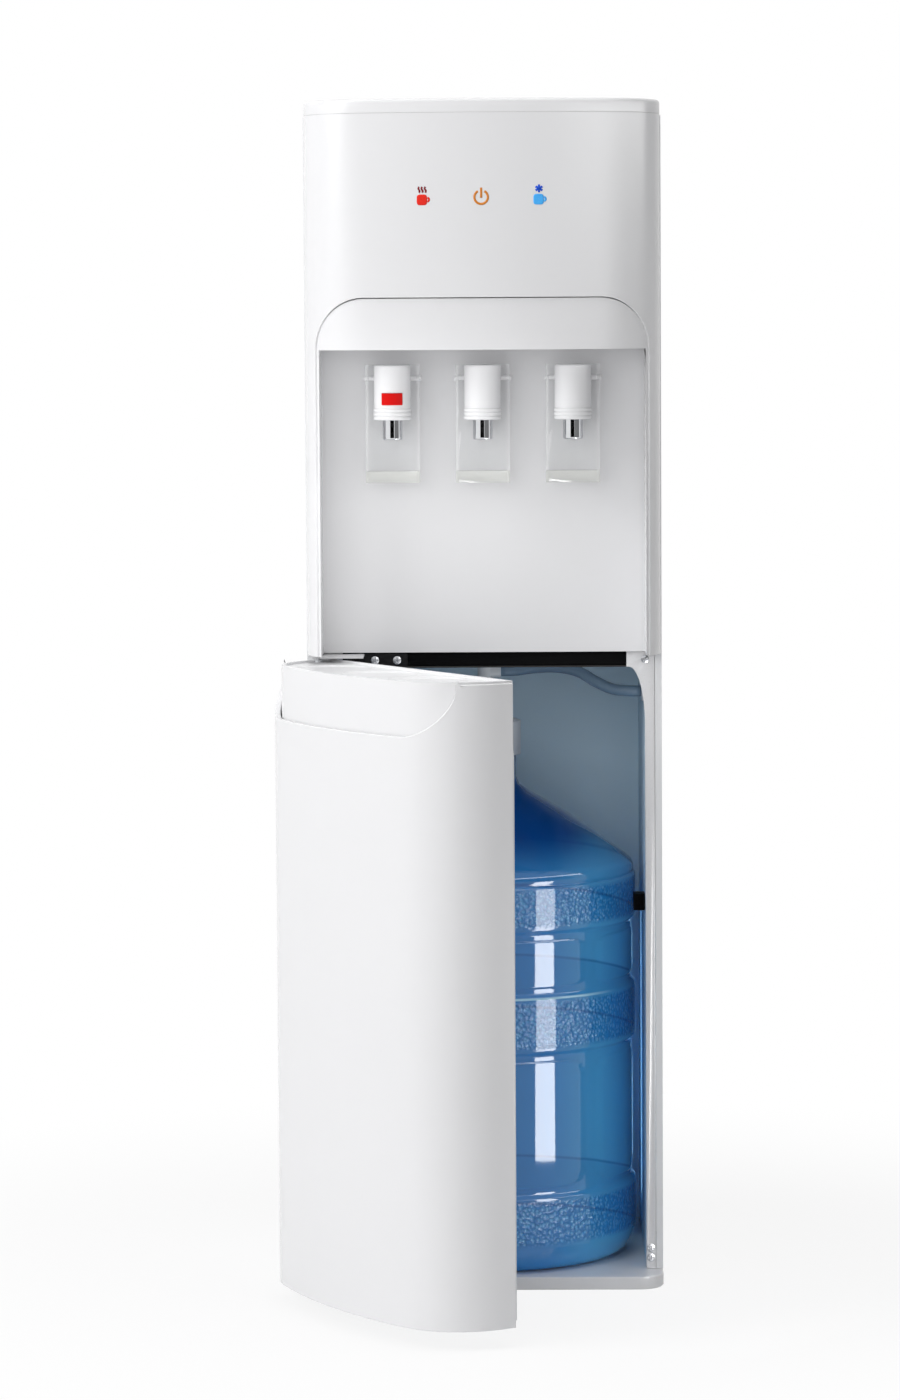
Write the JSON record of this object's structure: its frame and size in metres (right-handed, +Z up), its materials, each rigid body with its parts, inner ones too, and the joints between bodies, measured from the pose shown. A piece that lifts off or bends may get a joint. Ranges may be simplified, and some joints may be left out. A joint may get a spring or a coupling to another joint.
{
  "type": "water cooler",
  "caption": "Floor-standing bottom load water cooler with hot, normal and cold taps over a bowed door that opens on a large blue bottle.",
  "frame": {"origin": "on the floor under the middle of the steel body", "axes": "+Z up, +X to the right as seen from the front, -Y towards the user"},
  "size_m": [0.3385, 0.5695, 1.046],
  "materials": {
    "white_plastic": "glossy moulded white",
    "inner_white": "satin moulded white",
    "painted_steel": "white powder coat",
    "galvanised": "bright zinc plate",
    "chrome": "polished",
    "stainless": "satin",
    "black_plastic": "satin black",
    "black_steel": "black enamel",
    "clear_plastic": "clear",
    "red_plastic": "glossy",
    "green_plastic": "glossy",
    "rubber": "matt",
    "bottle_blue": "clear blue with water",
    "hose_blue": "smooth",
    "foam": "foam",
    "board_green": "solder mask"
  },
  "bodies": {
    "cooler": {"base_plate": "white_plastic", "cold_spout": "chrome", "cold_tank": "stainless", "cold_tank_jacket": "foam", "cold_tap": "white_plastic", "compartment_liner": "inner_white", "compressor": "black_steel", "compressor_shelf": "galvanised", "condenser": "black_steel", "crossbar_cover": "black_plastic", "dispensing_panel": "white_plastic", "door_catch": "black_plastic", "drain_cap": "black_plastic", "drain_pipe": "stainless", "foot_1": "rubber", "foot_2": "rubber", "foot_3": "rubber", "foot_4": "rubber", "frame_screw_1": "stainless", "frame_screw_2": "stainless", "frame_screw_3": "stainless", "front_frame": "white_plastic", "head_cover": "white_plastic", "hinge_screw_1": "stainless", "hinge_screw_2": "stainless", "hose_fitting": "inner_white", "hot_spout": "chrome", "hot_tank": "stainless", "hot_tap": "white_plastic", "indicator_board": "board_green", "left_side_panel": "painted_steel", "light_guide": "clear_plastic", "lower_hinge_bracket": "galvanised", "lower_hinge_pin": "stainless", "normal_spout": "chrome", "normal_tap": "white_plastic", "power_inlet": "black_plastic", "probe_cap": "inner_white", "rear_panel": "painted_steel", "right_side_panel": "painted_steel", "suction_hose": "hose_blue", "suction_tube": "inner_white", "switch_plate": "black_plastic", "tank_shelf": "galvanised", "top_cover": "white_plastic", "upper_hinge_bracket": "galvanised", "upper_hinge_pin": "stainless", "water_bottle": "bottle_blue", "water_pump": "black_plastic"},
    "door": {"door_skin": "white_plastic", "door_liner": "inner_white", "door_cap": "white_plastic", "upper_bush": "inner_white", "lower_bush": "inner_white"},
    "hot_lever": {"hot_lever": "clear_plastic"},
    "normal_lever": {"normal_lever": "clear_plastic"},
    "cold_lever": {"cold_lever": "clear_plastic"},
    "lock_button": {"lock_button": "red_plastic"},
    "hot_switch": {"hot_switch": "red_plastic"},
    "cold_switch": {"cold_switch": "green_plastic"}
  },
  "joints": [
    {"name": "door_hinge", "type": "hinge", "parent": "cooler", "child": "door", "pos_m": [-0.1458, -0.153, 0.3], "axis": [0, 0, 1], "range_deg": [-52, 58]},
    {"name": "hot_lever_pivot", "type": "hinge", "parent": "cooler", "child": "hot_lever", "pos_m": [-0.0785, -0.168, 0.806], "axis": [1, 0, 0], "range_deg": [0, 7], "stiffness_Nm_per_rad": 0.3, "springref_deg": -8.59},
    {"name": "normal_lever_pivot", "type": "hinge", "parent": "cooler", "child": "normal_lever", "pos_m": [0, -0.168, 0.806], "axis": [1, 0, 0], "range_deg": [0, 7], "stiffness_Nm_per_rad": 0.3, "springref_deg": -8.59},
    {"name": "cold_lever_pivot", "type": "hinge", "parent": "cooler", "child": "cold_lever", "pos_m": [0.0785, -0.168, 0.806], "axis": [1, 0, 0], "range_deg": [0, 7], "stiffness_Nm_per_rad": 0.3, "springref_deg": -8.59},
    {"name": "lock_button_press", "type": "slide", "parent": "cooler", "child": "lock_button", "axis": [0, 1, 0], "range_m": [0, 0.002], "stiffness_N_per_m": 400, "springref_m": -0.001},
    {"name": "hot_switch_rock", "type": "hinge", "parent": "cooler", "child": "hot_switch", "pos_m": [0.087, 0.1358, 0.985], "axis": [1, 0, 0], "range_deg": [-16, 0]},
    {"name": "cold_switch_rock", "type": "hinge", "parent": "cooler", "child": "cold_switch", "pos_m": [0.113, 0.1358, 0.985], "axis": [1, 0, 0], "range_deg": [-16, 0]}
  ]
}
